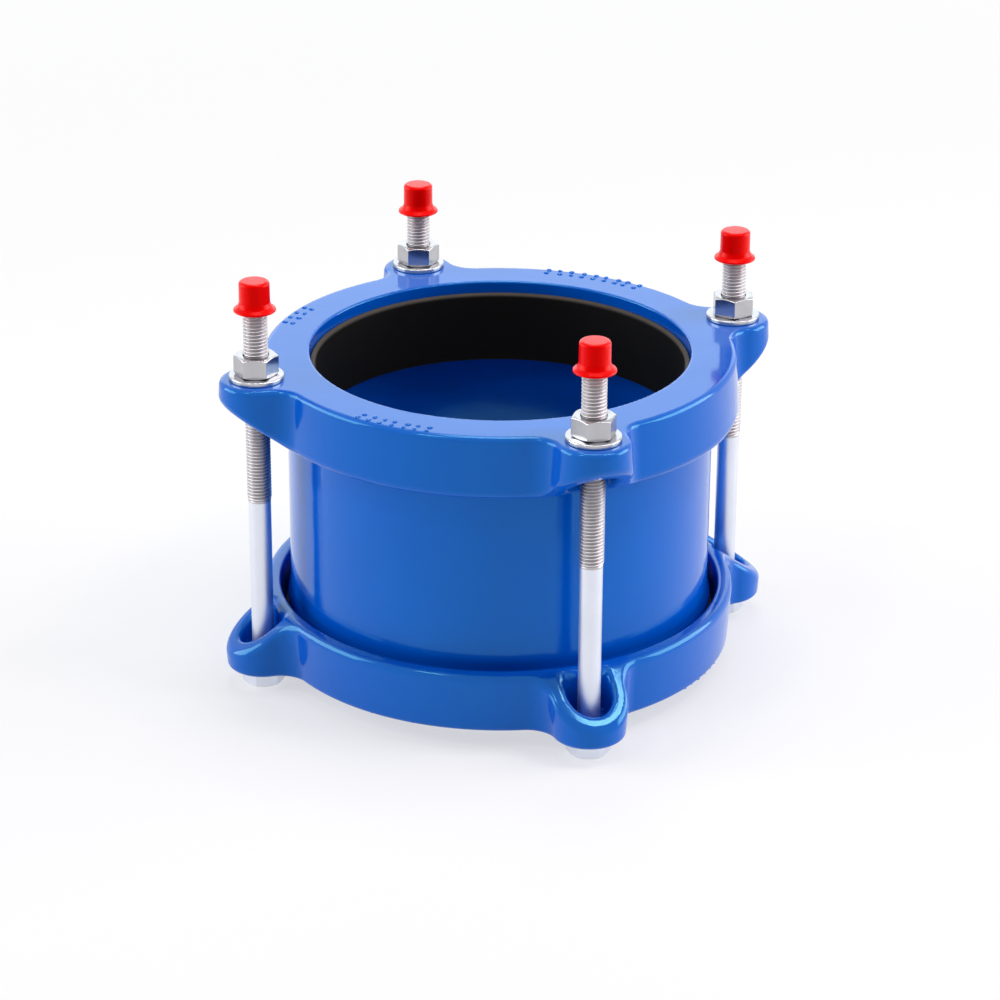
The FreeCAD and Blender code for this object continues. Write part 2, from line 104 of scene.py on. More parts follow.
class Graph:
    def __init__(self, tree):
        self.tree = tree

    def add(self, kind, settings=None, values=None, output=0):
        node = self.tree.nodes.new(kind)
        for name, value in (settings or {}).items():
            setattr(node, name, value)
        for name, value in (values or {}).items():
            self.feed(node.inputs[name], value)
        return Term(self, node.outputs[output])

    def feed(self, socket, value):
        if isinstance(value, Term):
            self.tree.links.new(value.socket, socket)
        elif value is not None:
            socket.default_value = value

    def math(self, operation, *operands):
        return self.add("ShaderNodeMath", {"operation": operation}, dict(enumerate(operands)))

    def vector(self, operation, *operands, output="Vector"):
        values = dict(enumerate(operands))
        return self.add("ShaderNodeVectorMath", {"operation": operation}, values, output)

    def larger(self, a, b):
        return self.math("MAXIMUM", a, b)

    def smaller(self, a, b):
        return self.math("MINIMUM", a, b)

    def clamped(self, a, low=0, high=1):
        return self.smaller(self.larger(a, low), high)

    def root(self, a):
        return self.math("SQRT", a)

    def between(self, factor, a, b):
        # a where factor is 0, b where it is 1
        return a + (b - a) * factor

    def split(self, vector):
        first = self.add("ShaderNodeSeparateXYZ", None, {0: vector})
        return first, first.also("Y"), first.also("Z")

    def join(self, x, y, z):
        return self.add("ShaderNodeCombineXYZ", None, {0: x, 1: y, 2: z})

    def length(self, x, y):
        return self.root(x * x + y * y)

    def scaled(self, vector, factor):
        result = self.vector("SCALE", vector)
        self.feed(result.socket.node.inputs["Scale"], factor)
        return result

    def colours(self, factor, a, b):
        # the Mix node's inputs 0, 6 and 7 are its factor and its two colours, output 2 is the mixed colour
        a, b = [(*colour, 1) if isinstance(colour, tuple) else colour for colour in (a, b)]
        return self.add("ShaderNodeMix", {"data_type": "RGBA"}, {0: factor, 6: a, 7: b}, 2)


def newTree(name, inputs, outputs):
    # a Geometry Nodes tree with named inputs, given as {name: (kind, default)}
    tree = bpy.data.node_groups.new(name, "GeometryNodeTree")
    for label, (kind, default) in inputs.items():
        socket = tree.interface.new_socket(label, in_out="INPUT", socket_type="NodeSocket" + kind)
        if default is not None:
            socket.default_value = default
    for label, kind in outputs.items():
        tree.interface.new_socket(label, in_out="OUTPUT", socket_type="NodeSocket" + kind)
    graph = Graph(tree)
    source = graph.add("NodeGroupInput").socket.node
    given = {label: Term(graph, source.outputs[label]) for label in inputs}
    return graph, given


def closeTree(graph, results):
    end = graph.tree.nodes.new("NodeGroupOutput")
    for label, term in results.items():
        graph.tree.links.new(term.socket, end.inputs[label])
    return graph.tree


def grown(name, tree, values):
    # the mesh that a Geometry Nodes tree makes, kept as a plain mesh
    seed = bpy.data.objects.new(name + "Seed", bpy.data.meshes.new(name + "Seed"))
    bpy.context.scene.collection.objects.link(seed)
    modifier = seed.modifiers.new("Shape", "NODES")
    modifier.node_group = tree
    for item in tree.interface.items_tree:
        if item.in_out == "INPUT" and item.name in values:
            modifier[item.identifier] = values[item.name]
    depsgraph = bpy.context.evaluated_depsgraph_get()
    shape = seed.evaluated_get(depsgraph)
    mesh = bpy.data.meshes.new_from_object(shape, preserve_all_data_layers=True, depsgraph=depsgraph)
    mesh.name = name
    bpy.data.objects.remove(seed)
    return mesh


def newMaterial(name):
    material = bpy.data.materials.new(name)
    material.use_nodes = True
    graph = Graph(material.node_tree)
    surface = material.node_tree.nodes["Principled BSDF"]
    where = graph.add("ShaderNodeTexCoord", None, None, "Object")
    return material, graph, surface, where


def noise(graph, where, scale, detail=3, roughness=0.5):
    values = {"Vector": where, "Scale": scale, "Detail": detail, "Roughness": roughness}
    return graph.add("ShaderNodeTexNoise", None, values)


def patchy(graph, where, values):
    # a roughness that differs a little from place to place
    patches = noise(graph, where, values["patchScale"])
    return values["roughness"] + (patches - 0.5) * values["patchRange"]


def relief(graph, surface, height, distance):
    bump = graph.add("ShaderNodeBump", None, {"Height": height, "Distance": distance, "Strength": 1})
    graph.feed(surface.inputs["Normal"], bump)


coatValues = {
    "deep": (0.0, 0.083, 0.54),
    "bright": (0.0, 0.122, 0.65),
    "sheen": (0.3, 1.0, 1.0),
    "refraction": 1.56,
    "cloudScale": 12,
    "roughness": 0.1,
    "patchScale": 160,
    "patchRange": 0.04,
    "peelScale": 300,
    "peelHeight": 0.02,
    "castScale": 40,
    "castHeight": 0.14,
}


def blueCoating(values):
    # epoxy over cast iron: a fine peel, and under it the soft dents of the casting
    material, graph, surface, where = newMaterial("blueCoating")
    cloud = noise(graph, where, values["cloudScale"])
    graph.feed(surface.inputs["Base Color"], graph.colours(cloud, values["deep"], values["bright"]))
    graph.feed(surface.inputs["Roughness"], patchy(graph, where, values))
    surface.inputs["Specular Tint"].default_value = (*values["sheen"], 1)
    surface.inputs["IOR"].default_value = values["refraction"]
    peel = noise(graph, where, values["peelScale"], 1)
    dents = noise(graph, where, values["castScale"], 2)
    relief(graph, surface, peel * values["peelHeight"] + dents * values["castHeight"], mm)
    return material


boltValues = {
    "dark": (0.7, 0.73, 0.81),
    "light": (0.78, 0.81, 0.89),
    "crest": (0.6, 0.58, 0.6),
    # painted shade: the colour at the bottom of the thread's grooves
    "grooveShade": (0.34, 0.32, 0.33),
    "cloudScale": 90,
    "roughness": 0.42,
    "patchScale": 400,
    "patchRange": 0.12,
    "grainScale": 900,
    "grainHeight": 0.00001,
    "threadFrom": 0.098,
    "threadRoughness": 0.42,
    "crestRadius": 0.0059,
    "grooveDepth": 0.0009,
}
nutValues = {
    "dark": (0.42, 0.42, 0.45),
    "light": (0.56, 0.56, 0.58),
    "cloudScale": 120,
    "roughness": 0.22,
    "patchScale": 400,
    "patchRange": 0.12,
    "grainScale": 700,
    "grainHeight": 0.00002,
}


def plated(name, values):
    # zinc; a bolt's thread, above its plain shank, is greyer, and painted shade darkens it into its grooves
    material, graph, surface, where = newMaterial(name)
    cloud = noise(graph, where, values["cloudScale"])
    tint = graph.colours(cloud, values["dark"], values["light"])
    roughness = patchy(graph, where, values)
    if "threadFrom" in values:
        x, y, z = graph.split(where)
        outward = graph.larger(abs(x), abs(y)) - boltReach * mm
        fromBolt = graph.length(outward, graph.smaller(abs(x), abs(y)))
        # painted shade: the thread's colour darkens with depth into its grooves, where shade falls
        depth = graph.clamped((values["crestRadius"] - fromBolt) / values["grooveDepth"])
        thread = graph.colours(depth, values["crest"], values["grooveShade"])
        above = z > values["threadFrom"]
        tint = graph.colours(above, tint, thread)
        roughness = graph.between(above, roughness, values["threadRoughness"])
    graph.feed(surface.inputs["Base Color"], tint)
    surface.inputs["Metallic"].default_value = 1
    graph.feed(surface.inputs["Roughness"], roughness)
    relief(graph, surface, noise(graph, where, values["grainScale"], 2), values["grainHeight"])
    return material


rubberValues = {
    "dark": (0.0015, 0.0015, 0.0015),
    "light": (0.003, 0.003, 0.003),
    # partly dust, partly painted sheen: the lighter colour laid on faces that turn up
    "dustAndSheen": (0.09, 0.075, 0.062),
    "dustAndSheenScale": 90,
    "leastDustAndSheen": 0.6,
    "dustAndSheenFrom": 0.3,
    "dustAndSheenGain": 2,
    "cloudScale": 40,
    "specular": 0.1,
    "roughness": 0.6,
    "patchScale": 300,
    "patchRange": 0.15,
    "grainScale": 1500,
    "grainHeight": 0.00005,
}


def blackRubber(values):
    # a dusty bloom and a painted sheen lighten what faces up, as if lit from above
    material, graph, surface, where = newMaterial("blackRubber")
    cloud = noise(graph, where, values["cloudScale"])
    body = graph.colours(cloud, values["dark"], values["light"])
    _, _, facing = graph.split(graph.add("ShaderNodeNewGeometry", None, None, "Normal"))
    # painted sheen with some dust: faces turned up are made lighter in colour
    upward = graph.clamped((facing - values["dustAndSheenFrom"]) * values["dustAndSheenGain"])
    dustAndSheenAmount = upward * graph.between(noise(graph, where, values["dustAndSheenScale"]), values["leastDustAndSheen"], 1.0)
    graph.feed(surface.inputs["Base Color"], graph.colours(dustAndSheenAmount, body, values["dustAndSheen"]))
    graph.feed(surface.inputs["Roughness"], patchy(graph, where, values))
    surface.inputs["Specular IOR Level"].default_value = values["specular"]
    relief(graph, surface, noise(graph, where, values["grainScale"], 2), values["grainHeight"])
    return material


plasticValues = {
    "deep": (0.88, 0.0, 0.0),
    "bright": (0.94, 0.001, 0.0),
    "sheen": (1.0, 0.05, 0.05),
    "cloudScale": 60,
    "roughness": 0.25,
    "patchScale": 500,
    "patchRange": 0.1,
    "grainScale": 900,
    "grainHeight": 0.00003,
}


def redPlastic(values):
    material, graph, surface, where = newMaterial("redPlastic")
    cloud = noise(graph, where, values["cloudScale"])
    graph.feed(surface.inputs["Base Color"], graph.colours(cloud, values["deep"], values["bright"]))
    graph.feed(surface.inputs["Roughness"], patchy(graph, where, values))
    surface.inputs["Specular Tint"].default_value = (*values["sheen"], 1)
    relief(graph, surface, noise(graph, where, values["grainScale"], 2), values["grainHeight"])
    return material


blue = blueCoating(coatValues)
boltZinc = plated("boltZinc", boltValues)
nutZinc = plated("nutZinc", nutValues)
rubber = blackRubber(rubberValues)
red = redPlastic(plasticValues)
print("materials made")


def rounded(corners, steps=5):
    # corners are (radius, height, rounding); each rounding becomes an arc of steps
    points = []
    count = len(corners)
    for i, (r, z, rounding) in enumerate(corners):
        here = Vector((r, z))
        if rounding == 0:
            points.append(here)
            continue
        before = (Vector(corners[i - 1][:2]) - here).normalized()
        after = (Vector(corners[(i + 1) % count][:2]) - here).normalized()
        half = before.angle(after) / 2
        centre = here + (before + after).normalized() * rounding / math.sin(half)
        reach = rounding / math.tan(half)
        first = here + before * reach - centre
        last = here + after * reach - centre
        turn = first.angle_signed(last)
        for step in range(steps + 1):
            points.append(centre + Matrix.Rotation(-turn * step / steps, 2) @ first)
    return [tuple(point) for point in points]


def turned(name, outline, segments=192, place=(0, 0, 0), flip=False):
    # a closed outline turned about Z, in millimetres; flip turns the piece half round about X
    verts = []
    faces = []
    count = len(outline)
    for i in range(segments):
        angle = 2 * math.pi * i / segments
        for r, z in outline:
            x, y = r * math.cos(angle), r * math.sin(angle)
            verts.append((x, -y, -z) if flip else (x, y, z))
    for i in range(segments):
        j = (i + 1) % segments
        for k in range(count):
            m = (k + 1) % count
            if outline[k][0] == 0 and outline[m][0] == 0:
                continue
            ring = [i * count + k, j * count + k, j * count + m, i * count + m]
            if outline[k][0] == 0:
                ring = [i * count + k, j * count + m, i * count + m]
            elif outline[m][0] == 0:
                ring = [i * count + k, j * count + k, i * count + m]
            faces.append(ring)
    mesh = bpy.data.meshes.new(name)
    mesh.from_pydata([tuple((Vector(v) + Vector(place)) * mm) for v in verts], [], faces)
    return mesh


def settled(mesh, weld=1e-6, evenness=60):
    # seams closed, faces outward, and flat faces kept flat beside their rounded edges
    work = bmesh.new()
    work.from_mesh(mesh)
    bmesh.ops.remove_doubles(work, verts=work.verts, dist=weld)
    bmesh.ops.recalc_face_normals(work, faces=work.faces)
    for face in work.faces:
        face.smooth = True
    work.to_mesh(mesh)
    work.free()
    holder = bpy.data.objects.new("holder", mesh)
    bpy.context.scene.collection.objects.link(holder)
    even = holder.modifiers.new("Even", "WEIGHTED_NORMAL")
    even.weight = evenness
    depsgraph = bpy.context.evaluated_depsgraph_get()
    result = bpy.data.meshes.new_from_object(holder.evaluated_get(depsgraph), depsgraph=depsgraph)
    bpy.data.objects.remove(holder)
    return result


def joined(name, meshes):
    work = bmesh.new()
    for mesh in meshes:
        work.from_mesh(mesh)
    result = bpy.data.meshes.new(name)
    work.to_mesh(result)
    work.free()
    return result


def raised(mesh, height, flip):
    # the mesh moved up from the origin, turned over about X first where flip is set
    turn = Matrix.Rotation(math.pi, 4, "X") if flip else Matrix()
    mesh.transform(Matrix.Translation((0, 0, height * mm)) @ turn)
    return turn.to_3x3()


def finished(name, mesh, material, body, node=None):
    # the piece as an object that rides on its body and stands for its CAD node
    piece = bpy.data.objects.new(name, mesh)
    bpy.context.scene.collection.objects.link(piece)
    mesh.materials.clear()
    mesh.materials.append(material)
    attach(piece, body)
    if node:
        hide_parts(node)
    return piece


# the end rings: one casting, its surface found as the zero level of a distance, in millimetres
ringSizes = {
    "Bore Radius": 94.0,
    "Web": 8.0,
    "Height": 30.5,
    "Wall Radius": 116.5,
    "Skirt Radius": 110.2,
    "Skirt Draft": 1.5,
    "Casting Draft": 3.75,
    "Lug Reach": boltReach,
    "Lug End": 18.0,
    "Flare": 14.0,
    "Slope": 37.0,
    "Crown Start": 114.9,
    "Crown": 7.0,
    "Hollow End": 10.6,
    "Hollow Foot": 117.8,
    "Hollow Corner": 3.0,
    "Hollow Draft": 1.5,
    "Bolt Hole": 6.75,
    "Face Edge": 2.4,
    "Rim Edge": 2.6,
    "Rim Inner Edge": 1.6,
    "Cavity Corner": 3.0,
    "Hollow Edge": 3.4,
    "Hollow Floor": 2.0,
    "Bore Edge": 1.0,
    "Hole Edge": 0.6,
}
ringCell = 1.1


def ringDistance():
    inputs = {"Position": ("Vector", None)}
    inputs.update({label: ("Float", value) for label, value in ringSizes.items()})
    graph, s = newTree("ringDistance", inputs, {"Distance": "Float"})
    x, y, z = graph.split(s["Position"])

    def radians(degrees):
        return degrees * (math.pi / 180)

    def tangent(degrees):
        return graph.math("TANGENT", radians(degrees))

    def both(a, b, edge):
        # the larger of two distances, with a rounded edge where they meet
        inner = graph.smaller(graph.larger(a, b), -edge)
        return inner + graph.length(graph.larger(a + edge, 0), graph.larger(b + edge, 0))

    # folded into the eighth of the ring that holds half a lug
    u = graph.larger(abs(x), abs(y))
    v = graph.smaller(abs(x), abs(y))
    r = graph.length(u, v)
    reach = s["Lug Reach"]
    fromBolt = graph.length(u - reach, v)

    # outline: wall and lug ends with a hollow flare between them, whose centre lies at (across, up)
    toRing = s["Wall Radius"] + s["Flare"]
    toLug = s["Lug End"] + s["Flare"]
    across = (toRing * toRing - toLug * toLug + reach * reach) / (reach * 2)
    up = graph.root(toRing * toRing - across * across)
    plain = graph.smaller(r - s["Wall Radius"], fromBolt - s["Lug End"])
    flare = s["Flare"] - graph.length(u - across, v - up)
    inWedge = ((u * up - v * across) > 0) * (((u - reach) * up - v * (across - reach)) < 0)
    outline = graph.between(inWedge, plain, flare) - z * tangent(s["Casting Draft"])

    # rim: flat, a crown arc and the slope of the lugs
    fall = radians(s["Slope"])
    outward = r - s["Crown Start"]
    below = z - s["Height"] + s["Crown"]
    arcSide = graph.larger(outward, 0)
    steep = graph.math("SINE", fall)
    shallow = graph.math("COSINE", fall)
    onArc = graph.length(arcSide, graph.larger(below, 0)) - s["Crown"]
    onSlope = outward * steep + below * shallow - s["Crown"]
    flat = z - s["Height"]
    pastArc = (outward * shallow - below * steep) > 0
    rim = graph.between(pastArc, graph.between(outward > 0, flat, onArc), onSlope)
    bulk = both(outline, rim, s["Rim Edge"])
    bulk = both(bulk, -z, s["Face Edge"])

    # skirt bore, lug hollow, bolt hole and opening are cut away
    skirt = r - s["Skirt Radius"] - (z - s["Web"]) * tangent(s["Skirt Draft"])
    cavity = both(skirt, s["Web"] - z, s["Cavity Corner"])
    bulk = both(bulk, -cavity, s["Rim Inner Edge"])
    beside = graph.between(u > reach, v, fromBolt) - s["Hollow End"]
    pocket = both(beside, s["Hollow Foot"] - r, s["Hollow Corner"])
    pocket = pocket - (z - s["Web"]) * tangent(s["Hollow Draft"])
    pocket = both(pocket, s["Web"] - z, s["Hollow Floor"])
    bulk = both(bulk, -pocket, s["Hollow Edge"])
    bulk = both(bulk, s["Bolt Hole"] - fromBolt, s["Hole Edge"])
    bulk = both(bulk, s["Bore Radius"] - r, s["Bore Edge"])
    return closeTree(graph, {"Distance": bulk})


def ringTree():
    # the casting meshed from a grid of cells, then drawn onto the exact surface in three steps
    distance = ringDistance()
    inputs = {"Cell": ("Float", ringCell), "Material": ("Material", None)}
    inputs.update({label: ("Float", value) for label, value in ringSizes.items()})
    graph, given = newTree("castRing", inputs, {"Geometry": "Geometry"})
    sizes = {label: given[label] for label in ringSizes}

    def distanceAt(position):
        return graph.add("GeometryNodeGroup", {"node_tree": distance}, {"Position": position, **sizes})

    band = 3.0
    reach = given["Lug Reach"] + given["Lug End"] + 4
    top = given["Height"] + band
    steps = (reach * 2) / given["Cell"]
    rise = (top + band) / given["Cell"]
    position = graph.add("GeometryNodeInputPosition")
    box = {
        "Density": graph.clamped(-distanceAt(position), -band, band),
        "Background": -band,
        "Min": graph.join(-reach, -reach, -band),
        "Max": graph.join(reach, reach, top),
        "Resolution X": steps,
        "Resolution Y": steps,
        "Resolution Z": rise,
    }
    volume = graph.add("GeometryNodeVolumeCube", None, box)
    values = {"Volume": volume, "Threshold": 0.0, "Adaptivity": 0.0}
    mesh = graph.add("GeometryNodeVolumeToMesh", {"resolution_mode": "GRID"}, values)
    corners = ((1, 1, 1), (1, -1, -1), (-1, 1, -1), (-1, -1, 1))
    step = 0.05
    leastSteepness = 0.2
    for _ in range(3):
        mean = 0.0
        slope = (0.0, 0.0, 0.0)
        for corner in corners:
            probe = distanceAt(graph.vector("ADD", position, tuple(step * c for c in corner)))
            mean = probe / len(corners) + mean
            slope = graph.vector("ADD", graph.scaled(corner, probe / (len(corners) * step)), slope)
        steepness = graph.vector("DOT_PRODUCT", slope, slope, output="Value")
        amount = graph.clamped(mean / graph.larger(steepness, leastSteepness), -1, 1)
        move = graph.scaled(slope, -amount)
        mesh = graph.add("GeometryNodeSetPosition", None, {"Geometry": mesh, "Offset": move})
    stored = graph.add(
        "GeometryNodeStoreNamedAttribute",
        {"data_type": "FLOAT_VECTOR", "domain": "POINT"},
        {"Geometry": mesh, "Name": "outward", "Value": graph.vector("NORMALIZE", slope)},
    )
    scaled = graph.add("GeometryNodeTransform", None, {"Geometry": stored, "Scale": (mm, mm, mm)})
    real = graph.add("GeometryNodeRealizeInstances", None, {"Geometry": scaled})
    coated = graph.add("GeometryNodeSetMaterial", None, {"Geometry": real, "Material": given["Material"]})
    return closeTree(graph, {"Geometry": coated})


def castRing(name, height, flip):
    # a copy of the casting with the surface's own slope as its normals
    mesh = ringMesh.copy()
    mesh.name = name
    turn = raised(mesh, height, flip)
    outward = [turn @ Vector(entry.vector) for entry in mesh.attributes["outward"].data]
    mesh.attributes.remove(mesh.attributes["outward"])
    mesh.polygons.foreach_set("use_smooth", [True] * len(mesh.polygons))
    mesh.normals_split_custom_set_from_vertices(outward)
    return mesh


ringMesh = grown("castRing", ringTree(), {"Material": blue})
slopes = ringMesh.attributes["outward"].data
if sum(face.normal.dot(slopes[face.vertices[0]].vector) for face in ringMesh.polygons) < 0:
    ringMesh.flip_normals()
for name, flip in (("lower", False), ("upper", True)):
    mesh = castRing(name + "Ring", ringFaces[name], flip)
    finished(name + "Ring", mesh, blue, name + "_end", name + "_end_ring")
print("end rings", len(ringMesh.polygons))


# casting marks: plain raised dots and short bars in two rows along arcs on the rings' outer faces
markSizes = {
    "Rows Apart": 4.3,
    "Length": 3.6,
    "Width": 3.1,
    "Height": 0.7,
}
markSpread = {
    "shift": (-0.006, 0.006),
    "length": (0.32, 0.52),
    "width": (0.35, 0.55),
    "lean": (-0.2, 0.2),
}
markGroups = [
    {"Radius": 111.0, "Start": -146.0, "End": -127.5, "Stations": 7, "Seed": 3},
    {"Radius": 112.0, "Start": 31.0, "End": 57.0, "Stations": 9, "Seed": 8},
    {"Radius": 111.0, "Start": 131.5, "End": 143.0, "Stations": 4, "Seed": 5},
]


def markTree():
    inputs = {label: ("Float", value) for label, value in markSizes.items()}
    inputs.update({"Radius": ("Float", 111.0), "Start": ("Float", 0.0), "End": ("Float", 20.0)})
    inputs.update({"Stations": ("Int", 6), "Seed": ("Int", 1), "Material": ("Material", None)})
    graph, s = newTree("castingMarks", inputs, {"Geometry": "Geometry"})
    line = graph.add("GeometryNodeMeshLine", None, {"Count": s["Stations"] * 2})
    index = graph.add("GeometryNodeInputIndex")
    station = graph.math("FLOOR", index / 2)
    row = index - station * 2 - 0.5

    def chance(kind, draw):
        low, high = markSpread[kind]
        values = {2: low, 3: high, "ID": index, "Seed": s["Seed"] + draw}
        return graph.add("FunctionNodeRandomValue", {"data_type": "FLOAT"}, values, 1)

    heading = (s["Start"] + (s["End"] - s["Start"]) * station / (s["Stations"] - 1)) * (math.pi / 180)
    heading = heading + chance("shift", 1)
    away = s["Radius"] + row * s["Rows Apart"]
    place = graph.join(away * graph.math("COSINE", heading), away * graph.math("SINE", heading), 0.0)
    points = graph.add("GeometryNodeSetPosition", None, {"Geometry": line, "Position": place})
    pad = graph.add("GeometryNodeMeshUVSphere", None, {"Segments": 14, "Rings": 8, "Radius": 1.0})
    size = graph.join(s["Length"] * chance("length", 2), s["Width"] * chance("width", 3), s["Height"])
    lean = graph.join(0.0, 0.0, heading + chance("lean", 4))
    values = {"Points": points, "Instance": pad, "Rotation": lean, "Scale": size}
    spread = graph.add("GeometryNodeInstanceOnPoints", None, values)
    scaled = graph.add("GeometryNodeTransform", None, {"Geometry": spread, "Scale": (mm, mm, mm)})
    real = graph.add("GeometryNodeRealizeInstances", None, {"Geometry": scaled})
    smooth = graph.add("GeometryNodeSetShadeSmooth", None, {"Geometry": real})
    coated = graph.add("GeometryNodeSetMaterial", None, {"Geometry": smooth, "Material": s["Material"]})
    return closeTree(graph, {"Geometry": coated})


marks = markTree()
groups = [grown("marks", marks, {**markSizes, **group, "Material": blue}) for group in markGroups]
for name, flip in (("lower", True), ("upper", False)):
    mesh = joined(name + "Marks", groups)
    raised(mesh, ringFaces[name], flip)
    finished(name + "Marks", mesh, blue, name + "_end")
print("casting marks", len(mesh.polygons))


sleeveSizes = {
    "middle": 85.5,
    "half": 55.2,
    "outside": 105.5,
    "bore": 100.0,
    "flareOutside": 107.0,
    "flareLength": 7.0,
    "lip": 2.5,
    "mouth": 103.6,
    "mouthLength": 20.0,
    "mouthBend": 8.0,
    "outerEdge": 1.2,
    "innerEdge": 0.84,
}


def sleeveOutline(s, steps=12):
    # the outside swells smoothly towards each end, and the bore opens into a mouth
    top = s["half"]
    swell = s["flareOutside"] - s["outside"]
    outside = []
    for step in range(steps + 1):
        share = step / steps
        ease = share * share * (3 - 2 * share)
        height = top - s["flareLength"] + (s["flareLength"] - s["lip"]) * share
        outside.append((s["outside"] + swell * ease, height))
    end = rounded(
        [
            (s["flareOutside"], top - s["lip"], 0),
            (s["flareOutside"], top, s["outerEdge"]),
            (s["mouth"], top, s["innerEdge"]),
            (s["bore"], top - s["mouthLength"], s["mouthBend"]),
            (s["bore"], 0, 0),
        ]
    )[1:-1]
    upper = outside + end
    lower = [(r, -z) for r, z in reversed(upper)]
    return upper + lower


sleeveMesh = settled(turned("sleeve", sleeveOutline(sleeveSizes), 256, (0, 0, sleeveSizes["middle"])))
finished("sleeve", sleeveMesh, blue, "sleeve", "centre_sleeve")
print("sleeve")


gasketSizes = {
    "bore": 91.0,
    "collar": 93.7,
    "lip": 5.9,
    "web": 8.3,
    "heel": 108.5,
    "heelTop": 15.0,
    "wedge": 104.43,
    "toe": 99.47,
    "toeTop": 42.6,
}


def gasketOutline(s):
    return rounded(
        [
            (s["bore"], s["toeTop"], 1.2),
            (s["bore"], s["lip"], 2.2),
            (s["collar"], s["lip"], 0.4),
            (s["collar"], s["web"], 0.4),
            (s["heel"], s["web"], 2),
            (s["heel"], s["heelTop"], 0.4),
            (s["wedge"], s["heelTop"], 0.2),
            (s["toe"], s["toeTop"], 1.5),
        ]
    )


for name, flip, anchor in (("lower", False, 0.017), ("upper", True, 0.154)):
    mesh = settled(turned(name + "Gasket", gasketOutline(gasketSizes), 192, (0, 0, ringFaces[name]), flip))
    piece = finished(name + "Gasket", mesh, rubber, name + "_end", name + "_gasket")
    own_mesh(piece)
print("gaskets")


# bolts: head and shank are solids of their own, and the thread is grown along its helix
boltSizes = {
    "top": 206.0,
    "threadStart": 98.0,
    "radius": 6.0,
    "shank": 5.5,
    "pitch": 1.75,
    "depth": 1.0,
    "head": 9.0,
    "flats": 19.0,
    "endBreak": 1.0,
    "inHead": 1.0,
    "inThread": 0.5,
}
boltTurns = {"front": 39.7, "right": 39.7, "back": 20.0, "left": 51.7}


def threadTree(b, around=32, rowsPerTurn=7, runOutTurns=1.5, crestWidth=1.25, flankSteepness=1.6):
    inputs = {
        "Start": ("Float", b["threadStart"]),
        "Top": ("Float", b["top"]),
        "Radius": ("Float", b["radius"]),
        "Root": ("Float", b["radius"] - b["depth"]),
        "Core": ("Float", b["shank"]),
        "Pitch": ("Float", b["pitch"]),
        "End Break": ("Float", b["endBreak"]),
        "Material": ("Material", None),
    }
    graph, s = newTree("helicalThread", inputs, {"Geometry": "Geometry"})
    turns = graph.math("CEIL", (s["Top"] - s["Start"]) / s["Pitch"]) + 1
    rows = turns * rowsPerTurn + 1
    size = {"Size X": 1.0, "Size Y": 1.0, "Vertices X": around + 1, "Vertices Y": rows}
    grid = graph.add("GeometryNodeMeshGrid", None, size)
    x, y, _ = graph.split(grid.also("UV Map"))
    row = graph.math("ROUND", y * (rows - 1))
    climb = (row / rowsPerTurn + x - 1) * s["Pitch"] + s["Start"]
    z = graph.clamped(climb, s["Start"], s["Top"])
    phase = graph.math("FRACT", row / rowsPerTurn)
    tooth = graph.clamped(crestWidth - abs(phase * 2 - 1) * flankSteepness)
    runOut = graph.clamped((z - s["Start"]) / (s["Pitch"] * runOutTurns))
    crest = s["Root"] + (s["Radius"] - s["Root"]) * tooth
    radius = graph.between(runOut, s["Core"], crest)
    radius = graph.smaller(radius, s["Radius"] + (s["Top"] - z) - s["End Break"])
    # the first and last rows meet in the middle and close the ends
    radius = graph.between(row > rows - 1.5, radius, 0)
    radius = graph.between(row < 0.5, radius, 0)
    angle = x * (2 * math.pi)
    place = graph.join(radius * graph.math("COSINE", angle), radius * graph.math("SINE", angle), z)
    shaped = graph.add("GeometryNodeSetPosition", None, {"Geometry": grid, "Position": place})
    welded = graph.add("GeometryNodeMergeByDistance", None, {"Geometry": shaped, "Distance": 0.004})
    scaled = graph.add("GeometryNodeTransform", None, {"Geometry": welded, "Scale": (mm, mm, mm)})
    real = graph.add("GeometryNodeRealizeInstances", None, {"Geometry": scaled})
    coated = graph.add("GeometryNodeSetMaterial", None, {"Geometry": real, "Material": s["Material"]})
    return closeTree(graph, {"Geometry": coated})


def hexOutline(flats, rounding=0.5, steps=3):
    # the hexagon's contour with its corners rounded, as (angle, distance)
    lean = math.radians(30)
    middle = Vector((flats / math.sqrt(3) - rounding / math.cos(lean), 0))
    leans = [lean * step / steps for step in range(-steps, steps + 1)]
    corner = [middle + Vector((math.cos(a), math.sin(a))) * rounding for a in leans]
    following = Matrix.Rotation(math.radians(60), 2) @ corner[0]
    side = [corner[-1].lerp(following, share) for share in (0.12, 0.3, 0.5, 0.7, 0.88)]
    points = [Matrix.Rotation(math.radians(60 * k), 2) @ point for k in range(6) for point in corner + side]
    return [(math.atan2(p.y, p.x), p.length) for p in points]


